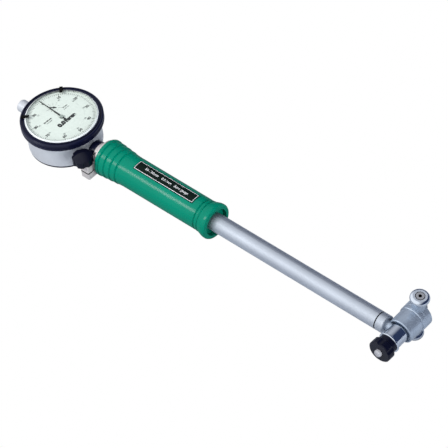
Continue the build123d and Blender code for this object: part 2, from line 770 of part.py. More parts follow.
def make_head_body():
    sleeve_bore = sleeve_radius + contact_gap
    recess_floor = head_mouth + mouth_recess_depth
    shell = turned_y([(-head_boss_reach, 0), (-head_boss_reach, head_boss_radius), (sleeve_seat, head_boss_radius),
                      (sleeve_seat, sleeve_bore), (recess_floor, sleeve_bore),
                      (recess_floor, mouth_recess_radius), (head_mouth, mouth_recess_radius),
                      (head_mouth, head_radius - head_edge), (head_mouth + head_edge, head_radius),
                      (head_end - head_edge, head_radius), (head_end, head_radius - head_edge), (head_end, 0)])
    spigot = rod_x(head_spigot_radius, tube_end - spigot_tube_reach, measure_x - head_boss_radius)
    sleeve_room = rod_y(sleeve_bore, -sleeve_end, sleeve_seat) - rod_y(head_boss_radius, -sleeve_end, sleeve_seat)
    body = shell + (spigot - sleeve_room)
    body -= rod_x(push_rod_radius + running_clearance, tube_end - spigot_tube_reach, measure_x - lever_arm)
    pivot_x, pivot_y = lever_pivot
    room = lever_hub_radius + lever_pocket_margin
    body -= block((pivot_x - room, -lever_ball_radius - lever_pocket_margin, axis_height - lever_pocket_half),
                  (measure_x + room, pivot_y + room, axis_height + lever_pocket_half))
    body -= rod_z(lever_pin_radius + running_clearance, axis_height - head_radius - cut_over,
                  axis_height + lever_pin_top + part_gap, pivot_x, pivot_y)
    body -= rod_y(plunger_radius + running_clearance, pivot_y, head_end)
    body -= rod_y(plunger_chamber_radius, plunger_chamber_start, head_end)
    for side in (-1, 1):
        body -= turned_with_guide(rod_y(bridge_pin_radius + running_clearance,
                                        bridge_pin_start - bridge_travel - part_gap, head_end,
                                        measure_x + side * bridge_pin_offset))
        body -= turned_with_guide(rod_y(bridge_pocket_radius, bridge_spring_start, head_end, measure_x,
                                        side_plane(side, bridge_pin_offset)))
    return body


def make_lever():
    """Bell crank that turns the plunger's push through a right angle into the rod."""
    x, y = lever_pivot
    half = lever_pocket_half - part_gap
    hub = rod_z(lever_hub_radius, axis_height - half, axis_height + half, x, y)
    lever = hub + rod_x(lever_bar_radius, x, measure_x, y) + rod_y(lever_bar_radius, 0, y, x)
    lever += Pos(measure_x, y, axis_height) * Sphere(lever_ball_radius)
    lever += Pos(x, 0, axis_height) * Sphere(lever_ball_radius)
    return lever - rod_z(lever_pin_radius + running_clearance, axis_height - cut_over - lever_pocket_half,
                         axis_height + cut_over + lever_pocket_half, x, y)


def make_lever_pin():
    x, y = lever_pivot
    return rod_z(lever_pin_radius, axis_height - lever_pin_bottom, axis_height + lever_pin_top, x, y)


def make_plunger():
    flange_end = retainer_start
    flange_start_y = flange_end - plunger_flange_thickness
    shank_end = plunger_back + plunger_shank_length
    return turned_y([(plunger_back, 0), (plunger_back, plunger_shank_radius), (shank_end, plunger_shank_radius),
                     (shank_end, plunger_radius), (flange_start_y, plunger_radius),
                     (flange_start_y, plunger_flange_radius), (flange_end, plunger_flange_radius),
                     (flange_end, plunger_radius), (plunger_reach - plunger_nose, plunger_radius),
                     (plunger_reach, tip_ball_radius), (plunger_reach, 0)]) \
        - Pos(measure_x, plunger_reach + tip_stand - tip_ball_radius, axis_height) * Sphere(tip_ball_radius)


def make_plunger_tip():
    return Pos(measure_x, plunger_reach + tip_stand - tip_ball_radius, axis_height) * Sphere(tip_ball_radius)


def make_retainer():
    return rod_y(plunger_chamber_radius, retainer_start, head_end) \
        - rod_y(plunger_radius + running_clearance, retainer_start, head_end)


def make_plunger_spring():
    end = retainer_start - plunger_flange_thickness
    return spring(plunger_flange_radius - contact_gap, spring_wire, plunger_spring_turns, plunger_chamber_start, end,
                  measure_x, axis_height)


def turned_with_guide(shape):
    return shape.rotate(measuring_axis, bridge_turn)


def side_plane(side, distance):
    """Height of a plane on the guide's upper or lower side, before the guide is turned."""
    return axis_height + side * distance


def rod_out(radius, side, inner, outer, y):
    """A rod along the roller axes, between two distances from the measuring axis."""
    ends = sorted((side_plane(side, inner), side_plane(side, outer)))
    return rod_z(radius, *ends, measure_x, y)


def make_bridge():
    inner = head_radius + running_clearance + contact_gap
    bore = plunger_radius + 2 * running_clearance
    seat = roller_offset - roller_thickness / 2 - roller_boss_gap
    bridge = turned_y([(bridge_start, inner), (bridge_start, bridge_radius - bridge_edge),
                       (bridge_start + bridge_edge, bridge_radius), (bridge_line, bridge_radius),
                       (bridge_line + bridge_line_width / 2, bridge_radius - bridge_line_depth),
                       (bridge_line + bridge_line_width, bridge_radius),
                       (bridge_end - bridge_edge, bridge_radius), (bridge_end, bridge_radius - bridge_edge),
                       (bridge_end, bore), (bridge_wall_start, bore), (bridge_wall_start, inner)])
    room = rod_y(inner, 0, bridge_wall_start)
    for side in (-1, 1):
        arm = rod_out(arm_radius, side, 0, seat, roller_y)
        arm &= block((measure_x - arm_radius, roller_y - arm_flat, -roller_offset),
                     (measure_x + arm_radius, roller_y + arm_flat, 2 * roller_offset))
        bridge += arm - room - rod_y(inner, bridge_wall_start, roller_y + arm_radius)
        bridge -= rod_out(roller_thread_radius, side, seat - roller_thread_depth, seat, roller_y)
        bridge -= rod_y(bridge_pin_radius, bridge_wall_start, bridge_wall_start + bridge_pin_seat,
                        measure_x + side * bridge_pin_offset)
    return turned_with_guide(bridge)


def make_roller(side):
    """Guide roller with a crowned tread, its outer face dished for the screw's head."""
    half = roller_thickness / 2
    bore = roller_screw_radius + running_clearance
    edge = roller_radius - roller_crown

    def place(radius, height):
        return (measure_x + radius, roller_y, side_plane(side, roller_offset + height))

    tread = ThreePointArc(place(edge, -half), place(roller_radius, 0), place(edge, half))
    floor = half - roller_recess_depth
    rest = Polyline(place(edge, half), place(roller_recess_radius, half), place(roller_recess_radius, floor),
                    place(bore, floor), place(bore, -half), place(edge, -half))
    return turned_with_guide(revolve(make_face(tread + rest), Axis((measure_x, roller_y, 0), (0, 0, 1))))


def make_roller_screw(side):
    seat = roller_offset - roller_thickness / 2 - roller_boss_gap
    top = roller_offset + roller_thickness / 2
    head = top - roller_recess_depth + contact_gap
    screw = rod_out(roller_thread_radius, side, seat - roller_thread_depth, seat, roller_y)
    screw += rod_out(roller_screw_radius, side, seat, head, roller_y)
    screw += rod_out(roller_head_radius, side, head, top, roller_y)
    screw -= rod_out(roller_socket_radius, side, top - roller_socket_depth, top, roller_y)
    return turned_with_guide(screw)


def make_bridge_pins():
    pins = []
    for side in (-1, 1):
        pin = rod_y(bridge_pin_radius, bridge_pin_start, bridge_wall_start + bridge_pin_seat,
                    measure_x + side * bridge_pin_offset)
        pins.append(turned_with_guide(pin))
    return Compound(children=pins)


def make_bridge_springs():
    coils = []
    for side in (-1, 1):
        coil = spring(bridge_spring_radius, spring_wire, bridge_spring_turns, bridge_spring_start,
                      bridge_wall_start, measure_x, side_plane(side, bridge_pin_offset))
        coils.append(turned_with_guide(coil))
    return Compound(children=coils)


def make_sleeve():
    sleeve = turned_y([(sleeve_seat, head_boss_radius + contact_gap), (sleeve_seat, sleeve_radius),
                       (-sleeve_end, sleeve_radius), (-sleeve_end, anvil_radius + contact_gap),
                       (-sleeve_floor, anvil_radius + contact_gap), (-sleeve_floor, head_boss_radius + contact_gap)])
    return sleeve - rod_x(sleeve_rod_hole, measure_x - sleeve_radius - cut_over, measure_x)


def make_spacer_ring():
    return turned_y([(-sleeve_end, anvil_radius + contact_gap), (-sleeve_end, spacer_radius - spacer_edge),
                     (-sleeve_end - spacer_edge, spacer_radius), (-nut_start + spacer_edge, spacer_radius),
                     (-nut_start, spacer_radius - spacer_edge), (-nut_start, anvil_radius + contact_gap)])


def make_anvil():
    return turned_y([(-anvil_start, 0), (-anvil_start, anvil_radius), (-anvil_tip + anvil_round, anvil_radius),
                     (-anvil_tip + anvil_round / 3, anvil_radius - anvil_round / 3),
                     (-anvil_tip, anvil_radius - anvil_round), (-anvil_tip, 0)])


def make_lock_nut():
    lobes_start = nut_start + nut_neck_length
    end = lobes_start + nut_length
    neck = rod_y(nut_neck_radius, -lobes_start, -nut_start)
    plane = Plane((measure_x, -lobes_start, axis_height), x_dir=(1, 0, 0), z_dir=(0, -1, 0))
    head = plane * lobed(nut_radius, nut_lobes, nut_flute_radius, nut_flute_depth, nut_length)
    eased = turned_y([(-lobes_start, 0), (-lobes_start, nut_radius - nut_edge),
                      (-lobes_start - nut_edge, nut_radius),
                      (-end + nut_edge, nut_radius), (-end, nut_radius - nut_edge), (-end, 0)])
    return neck + (head & eased) - rod_y(anvil_radius + running_clearance, -end - cut_over, -nut_start)


pieces = {
    "case": make_case, "back_cover": make_back_cover, "back_cover_screws": make_cover_screws,
    "stem": make_stem, "spindle_cap": make_spindle_cap, "spindle": make_spindle,
    "contact_point": make_contact_point, "movement_lower_plate": make_lower_plate,
    "movement_upper_plate": make_upper_plate, "movement_pillars": make_pillars, "rack_gear": make_rack_gear,
    "centre_pinion": make_centre_pinion, "counter_gear": make_counter_gear, "hairspring": make_hairspring,
    "main_pointer": make_main_pointer, "counter_pointer": make_counter_pointer, "dial_centre": make_dial_centre,
    "dial_ring": make_dial_ring, "bezel": make_bezel, "crystal": make_crystal,
    "stem_ring": make_stem_ring, "clamp_collar": make_clamp_collar, "clamp_screw": make_clamp_screw,
    "clamp_knob": make_clamp_knob, "handle": make_handle, "label_plate": make_label_plate, "tube": make_tube,
    "ferrule": make_ferrule, "rod_bush": make_rod_bush, "push_rod": make_push_rod, "head_body": make_head_body,
    "transfer_lever": make_lever, "lever_pin": make_lever_pin, "measuring_plunger": make_plunger,
    "plunger_tip": make_plunger_tip, "plunger_retainer": make_retainer, "plunger_spring": make_plunger_spring,
    "guide_bridge": make_bridge, "bridge_pins": make_bridge_pins, "bridge_springs": make_bridge_springs,
    "anvil_sleeve": make_sleeve, "spacer_ring": make_spacer_ring, "fixed_anvil": make_anvil,
    "lock_nut": make_lock_nut,
}
for name, make in pieces.items():
    export_step(make(), f"parts/{name}.step")
for name, degrees in (("limit_marker_a", marker_angle_a), ("limit_marker_b", marker_angle_b)):
    export_step(make_marker(degrees), f"parts/{name}.step")
for name, side in (("upper", 1), ("lower", -1)):
    export_step(make_roller(side), f"parts/{name}_roller.step")
    export_step(make_roller_screw(side), f"parts/{name}_roller_screw.step")
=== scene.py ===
# %% [markdown]
# # A dial bore gauge
# A bore gauge measures the width of a bore. Its head touches two sides of the wall, a rod
# in the tube carries the motion up, and a dial indicator shows it. The machined pieces
# come packed from the CAD model. This lesson gives them their surfaces, prints the dial
# and the label, and lights the gauge like a catalogue photograph.

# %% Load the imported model
import bpy
import json
import math
import numpy as np
from mathutils import Euler, Matrix, Vector


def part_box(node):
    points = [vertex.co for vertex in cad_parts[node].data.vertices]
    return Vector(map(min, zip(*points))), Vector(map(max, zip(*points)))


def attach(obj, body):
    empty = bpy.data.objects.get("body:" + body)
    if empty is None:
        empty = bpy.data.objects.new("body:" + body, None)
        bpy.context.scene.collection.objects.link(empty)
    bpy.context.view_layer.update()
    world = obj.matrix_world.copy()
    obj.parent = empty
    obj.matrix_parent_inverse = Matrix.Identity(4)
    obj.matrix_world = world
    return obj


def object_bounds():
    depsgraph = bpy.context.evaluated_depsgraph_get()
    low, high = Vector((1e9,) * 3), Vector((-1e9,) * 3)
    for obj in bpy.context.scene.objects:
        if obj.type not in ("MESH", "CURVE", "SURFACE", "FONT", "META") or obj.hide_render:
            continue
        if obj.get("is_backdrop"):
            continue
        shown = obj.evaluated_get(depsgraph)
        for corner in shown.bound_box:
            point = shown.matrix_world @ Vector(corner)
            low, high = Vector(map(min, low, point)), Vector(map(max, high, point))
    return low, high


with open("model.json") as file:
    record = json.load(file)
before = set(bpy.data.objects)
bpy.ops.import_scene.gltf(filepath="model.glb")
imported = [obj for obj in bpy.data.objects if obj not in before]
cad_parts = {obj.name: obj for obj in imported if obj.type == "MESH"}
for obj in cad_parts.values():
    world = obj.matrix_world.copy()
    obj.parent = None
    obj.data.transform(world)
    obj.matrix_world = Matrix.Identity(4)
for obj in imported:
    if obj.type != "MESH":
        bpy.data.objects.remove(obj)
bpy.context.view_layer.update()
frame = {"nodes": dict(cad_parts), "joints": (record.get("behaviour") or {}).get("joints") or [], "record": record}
nodes = frame["nodes"]

# %% [markdown]
# ## Sizes
# Lengths are in metres, in the model's own frame: the origin is the centre of the back
# cover, +X runs to the head and +Z is the way the dial faces. Places could be typed again
# here, but they are read from the machined pieces and their joints, so that print and
# finishes stay where the pieces are when the model is packed anew.

# %% Sizes taken from the machined pieces
mm = 0.001
micron = 0.000001
joints = {joint["name"]: joint for joint in frame["joints"]}
dial_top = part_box("dial_centre")[1].z
dial_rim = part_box("dial_ring")[1].x
tube_low, tube_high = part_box("tube")
axis_height = (tube_low.z + tube_high.z) / 2
print("dial at", round(dial_top / mm, 2), "mm, its rim", round(dial_rim / mm, 2), "mm from the centre")
print("tube axis at", round(axis_height / mm, 2), "mm")


# %% [markdown]
# ## Helpers for shader nodes
# Every finish on the gauge is a tree of shader nodes, so that it needs no picture files
# and looks right from any side. The trees could be clicked together by hand. Three short
# helpers write the same thing down in a line for each node.

# %% Node helpers
def new_group(name, inputs, outputs):
    """A shader node group with named sockets, its input and output nodes already placed."""
    group = bpy.data.node_groups.new(name, "ShaderNodeTree")
    for label, kind, value in inputs:
        socket = group.interface.new_socket(name=label, in_out="INPUT", socket_type=kind)
        socket.default_value = value
    for label, kind in outputs:
        group.interface.new_socket(name=label, in_out="OUTPUT", socket_type=kind)
    return group, group.nodes.new("NodeGroupInput"), group.nodes.new("NodeGroupOutput")


def node(tree, kind, **settings):
    """Adds a node. Settings that name a socket set its value, the others set the node itself."""
    made = tree.nodes.new(kind)
    for key, value in settings.items():
        label = key.replace("_", " ")
        if label in made.inputs:
            made.inputs[label].default_value = value
        else:
            setattr(made, key, value)
    return made


def spread(tree, source, low_value, high_value, from_low=0.3, from_high=0.7):
    """A value stretched from one range to another, held at its ends."""
    step = node(tree, "ShaderNodeMapRange", From_Min=from_low, From_Max=from_high,
                To_Min=low_value, To_Max=high_value)
    tree.links.new(source, step.inputs["Value"])
    return step.outputs["Result"]


print("helpers ready")


# %% [markdown]
# ## Fine wear
# No part of a used gauge has quite one tone: hands leave cloudy patches and smudges, and
# blasting or moulding leaves a faint grain. An image of dirt could be laid over each
# piece, but it would stretch at the edges. Three noise textures in one node group give the
# same thing in space, and each material sets how large and how deep they are.

# %% Node group: fine wear
tone_swing = 0.06
smudges_per_cloud = 2.3


def build_fine_wear():
    """Cloudy tone from wide noise, grain from narrow noise, and smudges for roughness."""
    group, start, end = new_group(
        "Fine wear",
        [("Cloud scale", "NodeSocketFloat", 60.0), ("Grain scale", "NodeSocketFloat", 1500.0),
         ("Bump depth", "NodeSocketFloat", 10 * micron)],
        [("Tone", "NodeSocketFloat"), ("Smudge", "NodeSocketFloat"), ("Normal", "NodeSocketVector")])
    place = node(group, "ShaderNodeTexCoord").outputs["Object"]
    cloud = node(group, "ShaderNodeTexNoise", Detail=3.0)
    grain = node(group, "ShaderNodeTexNoise", Detail=2.0)
    smudge = node(group, "ShaderNodeTexNoise", Detail=5.0, Roughness=0.65)
    closer = node(group, "ShaderNodeMath", operation="MULTIPLY")
    closer.inputs[1].default_value = smudges_per_cloud
    group.links.new(start.outputs["Cloud scale"], closer.inputs[0])
    for texture, scale in ((cloud, start.outputs["Cloud scale"]), (grain, start.outputs["Grain scale"]),
                           (smudge, closer.outputs[0])):
        group.links.new(place, texture.inputs["Vector"])
        group.links.new(scale, texture.inputs["Scale"])
    bump = node(group, "ShaderNodeBump", Strength=1.0)
    group.links.new(start.outputs["Bump depth"], bump.inputs["Distance"])
    group.links.new(grain.outputs["Fac"], bump.inputs["Height"])
    tone = spread(group, cloud.outputs["Fac"], 1 - tone_swing, 1 + tone_swing)
    group.links.new(tone, end.inputs["Tone"])
    group.links.new(spread(group, smudge.outputs["Fac"], 0.0, 1.0), end.inputs["Smudge"])
    group.links.new(bump.outputs["Normal"], end.inputs["Normal"])
    return group


fine_wear = build_fine_wear()
print("made", fine_wear.name)


# %% [markdown]
# ## Drawn grain
# The tube was pulled through a die, and pins and plates were ground on a belt, so their
# surfaces carry fine lines in one direction. The lines could be cut as geometry, at a cost
# of millions of faces. A noise that is squeezed along one direction looks the same at any
# distance from which the gauge is seen.

# %% Node group: drawn grain
def build_drawn_grain():
    """Noise of a squeezed place: place times a squeeze, small along the lines and large across them."""
    group, start, end = new_group(
        "Drawn grain",
        [("Squeeze", "NodeSocketVector", (20.0, 900.0, 900.0)),
         ("Bump depth", "NodeSocketFloat", 10 * micron)],
        [("Line", "NodeSocketFloat"), ("Normal", "NodeSocketVector")])
    place = node(group, "ShaderNodeTexCoord").outputs["Object"]
    scaled = node(group, "ShaderNodeVectorMath", operation="MULTIPLY")
    group.links.new(place, scaled.inputs[0])
    group.links.new(start.outputs["Squeeze"], scaled.inputs[1])
    lines = node(group, "ShaderNodeTexNoise", Scale=1.0, Detail=3.0, Roughness=0.6)
    group.links.new(scaled.outputs["Vector"], lines.inputs["Vector"])
    bump = node(group, "ShaderNodeBump", Strength=1.0)
    group.links.new(start.outputs["Bump depth"], bump.inputs["Distance"])
    group.links.new(lines.outputs["Fac"], bump.inputs["Height"])
    group.links.new(spread(group, lines.outputs["Fac"], 0.0, 1.0), end.inputs["Line"])
    group.links.new(bump.outputs["Normal"], end.inputs["Normal"])
    return group


drawn_grain = build_drawn_grain()
print("made", drawn_grain.name)


# %% [markdown]
# ## Material maker
# The gauge's finishes differ in colour, gloss and grain and not in kind, so one function
# makes them all. It multiplies the colour by the wear tone and lets smudges add to the
# roughness. Ground and drawn metals get the grain lines on top. Gloss that is the same
# all over a piece, such as a coat, is set on the shader itself.

# %% Material maker
def make_material(name, colour, roughness, smudge=0.08, metallic=0.0, cloud=60.0, grain=1500.0,
                  bump=10 * micron, squeeze=None, line_tone=0.12, line_bump=4 * micron, line_rough=0.1,
                  coat=0.0, coat_roughness=0.05, specular=0.5, tone_share=1.0):
    """A worn surface: colour times tone, roughness plus smudges, and a bump from grain or lines."""
    material = bpy.data.materials.new(name)
    material.use_nodes = True
    tree = material.node_tree
    shader = tree.nodes["Principled BSDF"]
    wear = node(tree, "ShaderNodeGroup", node_tree=fine_wear)
    wear.inputs["Cloud scale"].default_value = cloud
    wear.inputs["Grain scale"].default_value = grain
    wear.inputs["Bump depth"].default_value = bump
    swing = tone_swing * tone_share
    tone = spread(tree, wear.outputs["Tone"], 1 - swing, 1 + swing, 1 - tone_swing, 1 + tone_swing)
    rough = spread(tree, wear.outputs["Smudge"], roughness, roughness + smudge, 0.0, 1.0)
    normal = wear.outputs["Normal"]
    if squeeze:
        lines = node(tree, "ShaderNodeGroup", node_tree=drawn_grain)
        lines.inputs["Squeeze"].default_value = squeeze
        lines.inputs["Bump depth"].default_value = line_bump
        shade = spread(tree, lines.outputs["Line"], 1 - line_tone, 1 + line_tone, 0.0, 1.0)
        both = node(tree, "ShaderNodeMath", operation="MULTIPLY")
        tree.links.new(tone, both.inputs[0])
        tree.links.new(shade, both.inputs[1])
        tone = both.outputs[0]
        more = node(tree, "ShaderNodeMath", operation="MULTIPLY_ADD")
        tree.links.new(lines.outputs["Line"], more.inputs[0])
        more.inputs[1].default_value = line_rough
        tree.links.new(rough, more.inputs[2])
        rough = more.outputs[0]
        normal = lines.outputs["Normal"]
    tint = node(tree, "ShaderNodeVectorMath", operation="SCALE")
    tint.inputs[0].default_value = colour
    tree.links.new(tone, tint.inputs["Scale"])
    tree.links.new(tint.outputs["Vector"], shader.inputs["Base Color"])
    tree.links.new(rough, shader.inputs["Roughness"])
    tree.links.new(normal, shader.inputs["Normal"])
    shader.inputs["Metallic"].default_value = metallic
    shader.inputs["Coat Weight"].default_value = coat
    shader.inputs["Coat Roughness"].default_value = coat_roughness
    shader.inputs["Specular IOR Level"].default_value = specular
    return material


print("material maker ready")

# %% [markdown]
# ## Indicator finishes
# The case is blasted metal with a soft sheen, the bezel and the covers are glossy black
# with a touch of blue, and both parts of the dial carry the same greenish white enamel.
# The case could be made fully metallic, but blasted metal scatters light like a pale
# paint, so it is only partly metallic. The enamel is kept below white, so that it doesn't
# clip in the light. The movement inside has brass plates and gears, and steel that was
# ground in one direction, so these two get grain lines.

# %% Indicator finishes
dial_white = (0.71, 0.76, 0.70)
looks = {
    "case_metal": make_material("Blasted case metal", (0.57, 0.59, 0.62), 0.42, metallic=0.35, cloud=45,
                                grain=4000, bump=3 * micron),
    "black_gloss": make_material("Black gloss plastic", (0.004, 0.005, 0.018), 0.16, cloud=70, grain=2500,
                                 bump=1 * micron, coat=0.1, coat_roughness=0.06, specular=0.18),
    "dial_paint": make_material("Dial enamel", dial_white, 0.5, smudge=0.06, cloud=90, grain=3000,
                                bump=2 * micron, tone_share=0.4),
    "dial_rim_paint": make_material("Dial rim enamel", dial_white, 0.45, smudge=0.06, cloud=90, grain=3000,
                                    bump=2 * micron, tone_share=0.4),
    "pointer_black": make_material("Pointer black", (0.012, 0.013, 0.015), 0.4, cloud=200, grain=3000),
    "movement_brass": make_material("Movement brass", (0.62, 0.44, 0.16), 0.3, metallic=1.0,
                                    squeeze=(600.0, 40.0, 600.0)),
    "hardened_steel": make_material("Ground steel", (0.56, 0.58, 0.6), 0.22, metallic=1.0,
                                    squeeze=(900.0, 900.0, 60.0)),
    "spring_steel": make_material("Spring steel", (0.36, 0.37, 0.4), 0.35, metallic=1.0, cloud=150),
    "screw_steel": make_material("Screw steel", (0.22, 0.22, 0.24), 0.25, metallic=1.0, cloud=200,
                                 grain=3000),
}
print(len(looks), "indicator finishes")

# %% [markdown]
# ## Clamp, handle and label finishes
# The collar is nickel plate with a warm tone, the handle is a satin green moulding and
# the label is a dark foil. A plain plastic shader gives the handle a bluish veil from the
# surround. So its own reflection is nearly off, and a thin rough coat carries the broad
# highlight instead.

# %% Clamp, handle and label finishes
looks["collar_nickel"] = make_material("Nickel plate", (0.60, 0.56, 0.54), 0.34, metallic=0.4, cloud=80,
                                       grain=2500, bump=1 * micron)
looks["handle_green"] = make_material("Green moulding", (0.0, 0.142, 0.089), 0.36, smudge=0.06, cloud=30,
                                      grain=1800, bump=0.3 * micron, coat=0.2, coat_roughness=0.16,
                                      specular=0.01)
looks["label_black"] = make_material("Label foil", (0.003, 0.008, 0.006), 0.4, cloud=60, grain=3000,
                                     bump=1 * micron, specular=0.08)
looks["bush_plastic"] = make_material("Bush plastic", (0.75, 0.73, 0.66), 0.5, cloud=120)
print(len(looks), "finishes so far")

# %% [markdown]
# ## Tube and head finishes
# The tube is drawn and matted, with lines along X. The head is satin plated, and the
# sleeve and the spacer ring are polished. What plated metal shows is mostly the surround:
# the roughness decides how far it is blurred, and a slightly blue colour gives the cold
# tone of chrome. The measuring tips are lapped carbide, which looks more like grey stone,
# so they are hardly metallic.

# %% Tube and head finishes
chrome = (0.72, 0.77, 0.84)
looks["tube_metal"] = make_material("Drawn tube", (0.60, 0.64, 0.70), 0.5, smudge=0.04, metallic=0.95,
                                    cloud=25, squeeze=(9.0, 1400.0, 1400.0), line_tone=0.02,
                                    line_bump=0.2 * micron, line_rough=0.03)
looks["head_metal"] = make_material("Satin head", (0.42, 0.485, 0.575), 0.34, metallic=0.8, cloud=70,
                                    grain=3500, bump=0.5 * micron)
looks["polished_chrome"] = make_material("Polished chrome", chrome, 0.07, metallic=1.0, cloud=90,
                                         grain=2000, bump=1 * micron)
looks["carbide"] = make_material("Lapped carbide", (0.36, 0.36, 0.38), 0.3, metallic=0.2, cloud=200,
                                 grain=3000, bump=1 * micron)
print(len(looks), "finishes so far")


# %% [markdown]
# ## Crystal
# The crystal is a thin clear cup over the dial. A glass shader would bend the light twice
# and darken the dial under it. The cup is so thin that the bending can't be seen, so its
# faces let the light straight through and only add a reflection, which Fresnel makes
# stronger at glancing angles. Faces seen from inside don't add it a second time.

# %% Crystal
crystal_index = 1.45
crystal_tint = (0.985, 0.992, 0.988, 1.0)


def make_crystal():
    """Clear and glossy mixed by Fresnel times (1 - Backfacing)."""
    material = bpy.data.materials.new("Clear crystal")
    material.use_nodes = True
    tree = material.node_tree
    tree.nodes.remove(tree.nodes["Principled BSDF"])
    wear = node(tree, "ShaderNodeGroup", node_tree=fine_wear)
    wear.inputs["Bump depth"].default_value = 0.5 * micron
    clear = node(tree, "ShaderNodeBsdfTransparent", Color=crystal_tint)
    shine = node(tree, "ShaderNodeBsdfGlossy")
    tree.links.new(spread(tree, wear.outputs["Smudge"], 0.02, 0.08, 0.0, 1.0), shine.inputs["Roughness"])
    glance = node(tree, "ShaderNodeFresnel", IOR=crystal_index)
    outside = node(tree, "ShaderNodeMath", operation="SUBTRACT")
    outside.inputs[0].default_value = 1.0
    tree.links.new(node(tree, "ShaderNodeNewGeometry").outputs["Backfacing"], outside.inputs[1])
    share = node(tree, "ShaderNodeMath", operation="MULTIPLY")
    tree.links.new(glance.outputs["Fac"], share.inputs[0])
    tree.links.new(outside.outputs[0], share.inputs[1])
    mix = node(tree, "ShaderNodeMixShader")
    tree.links.new(share.outputs[0], mix.inputs["Fac"])
    tree.links.new(clear.outputs["BSDF"], mix.inputs[1])
    tree.links.new(shine.outputs["BSDF"], mix.inputs[2])
    tree.links.new(mix.outputs["Shader"], tree.nodes["Material Output"].inputs["Surface"])
    return material


looks["crystal_clear"] = make_crystal()
print(len(looks), "finishes in all")


# %% [markdown]
# ## Shading by the distance from a line
# Round pieces of this gauge change their finish at a radius: the recess round a roller's
# screw is painted nearly black as shade, and the pointer's hub is paler than its needle.
# The solid could be cut in two and each half painted. Measuring the distance from the
# piece's own axis keeps it in one piece, and the edge stays round and sharp at any size.

# %% Shading by the distance from a line
core_edge = 0.05 * mm


def scale_colour(material, share):
    """Multiplies what feeds the base colour by a share."""
    tree = material.node_tree
    colour = tree.nodes["Principled BSDF"].inputs["Base Color"]
    shade = node(tree, "ShaderNodeVectorMath", operation="SCALE")
    tree.links.new(colour.links[0].from_socket, shade.inputs[0])
    tree.links.new(share, shade.inputs["Scale"])
    tree.links.new(shade.outputs["Vector"], colour)


def core_share(tree, centre, direction, radius, inside, outside):
    """One value inside a radius of a line and one outside. Distance: |(place - centre) x direction|."""
    offset = node(tree, "ShaderNodeVectorMath", operation="SUBTRACT")
    tree.links.new(node(tree, "ShaderNodeTexCoord").outputs["Object"], offset.inputs[0])
    offset.inputs[1].default_value = centre
    across = node(tree, "ShaderNodeVectorMath", operation="CROSS_PRODUCT")
    tree.links.new(offset.outputs["Vector"], across.inputs[0])
    across.inputs[1].default_value = direction
    distance = node(tree, "ShaderNodeVectorMath", operation="LENGTH")
    tree.links.new(across.outputs["Vector"], distance.inputs[0])
    return spread(tree, distance.outputs["Value"], inside, outside, radius - core_edge, radius + core_edge)


print("core shading ready")

# %% [markdown]
# ## Rollers and their screws
# Each roller is polished chrome with a recess that holds a socket screw. Both rollers
# turn about the same line, which leans a little, so one distance serves for both. Inside
# the recess the colour drops to almost black as painted shade, and so it does in the
# screw's socket. The flat face round the recess is made a little less metallic, because
# the photograph shows a soft ring of light there and not a mirror.

# %% Rollers and their screws
roller_middle = Vector(joints["upper_roller_turn"]["pos_m"])
roller_axis = Vector(joints["upper_roller_turn"]["axis"])
recess_radius = 3.17 * mm
flat_face_radius = 4.7 * mm
flat_face_metal = 0.8
socket_radius = 1.15 * mm
# Colour share for the painted shade in the recess and in the screw's socket.
painted_shade_share = 0.02

roller_chrome = make_material("Roller chrome", chrome, 0.07, metallic=1.0, cloud=90, grain=2000,
                              bump=1 * micron)
roller_tree = roller_chrome.node_tree
# Painted shade: the recess goes almost black.
recess_shade_share = core_share(roller_tree, roller_middle, roller_axis, recess_radius, painted_shade_share, 1.0)
metal_share = core_share(roller_tree, roller_middle, roller_axis, flat_face_radius, flat_face_metal, 1.0)
scale_colour(roller_chrome, recess_shade_share)
roller_tree.links.new(metal_share, roller_tree.nodes["Principled BSDF"].inputs["Metallic"])

socket_screw = make_material("Socket screw", (0.9, 0.88, 0.86), 0.2, metallic=1.0, cloud=200, grain=3000,
                             bump=2 * micron)
# Painted shade: the screw's socket goes almost black.
scale_colour(socket_screw, core_share(socket_screw.node_tree, roller_middle, roller_axis, socket_radius,
                                      painted_shade_share, 1.0))
print("roller axis leans", round(math.degrees(math.atan2(roller_axis.x, roller_axis.z)), 1), "degrees")

# %% [markdown]
# ## Pointer, markers and knobs
# The large pointer is a black needle with a grey hub, which is a core round the dial's
# axis. The limit markers are matt black clips. The clamp knob and the lock nut are a
# deeper black than the bezel, so they get a look of their own, and not a shared slot that
# would change the bezel too.

# %% Pointer, markers and knobs
hub_radius = 1.5 * mm
needle_share = 0.04
dial_centre = Vector((0.0, 0.0, 0.0))
dial_axis = Vector((0.0, 0.0, 1.0))
pointer_look = make_material("Pointer with grey hub", (0.30, 0.34, 0.31), 0.4, cloud=200, grain=3000)
scale_colour(pointer_look, core_share(pointer_look.node_tree, dial_centre, dial_axis, hub_radius, 1.0,
                                      needle_share))
marker_look = make_material("Marker black", (0.003, 0.003, 0.003), 0.5, cloud=200, grain=3000, specular=0.1)
knob_look = make_material("Knob plastic", (0.0025, 0.003, 0.009), 0.18, cloud=70, grain=2500,
                          bump=1 * micron, coat=0.1, coat_roughness=0.08, specular=0.15)
own_looks = {"upper_roller": roller_chrome, "lower_roller": roller_chrome,
             "upper_roller_screw": socket_screw, "lower_roller_screw": socket_screw,
             "main_pointer": pointer_look, "limit_marker_a": marker_look, "limit_marker_b": marker_look,
             "clamp_knob": knob_look, "lock_nut": knob_look}
print(len(own_looks), "pieces with a finish of their own")


# %% [markdown]
# ## Painted shade in the joints
# Two narrow joints look like ink lines in the photograph: the seam where the tube's
# bevelled end meets the ferrule, and the slit that lets the collar close on the stem.
# Both are in the solids, but they are too fine to go dark at this size, and opening them
# further would make the real sizes wrong. So the metal is darkened inside a thin box
# round each joint, as painted shade for the shade that falls inside them.

# %% Painted shade in the joints
joint_fade = 0.1 * mm


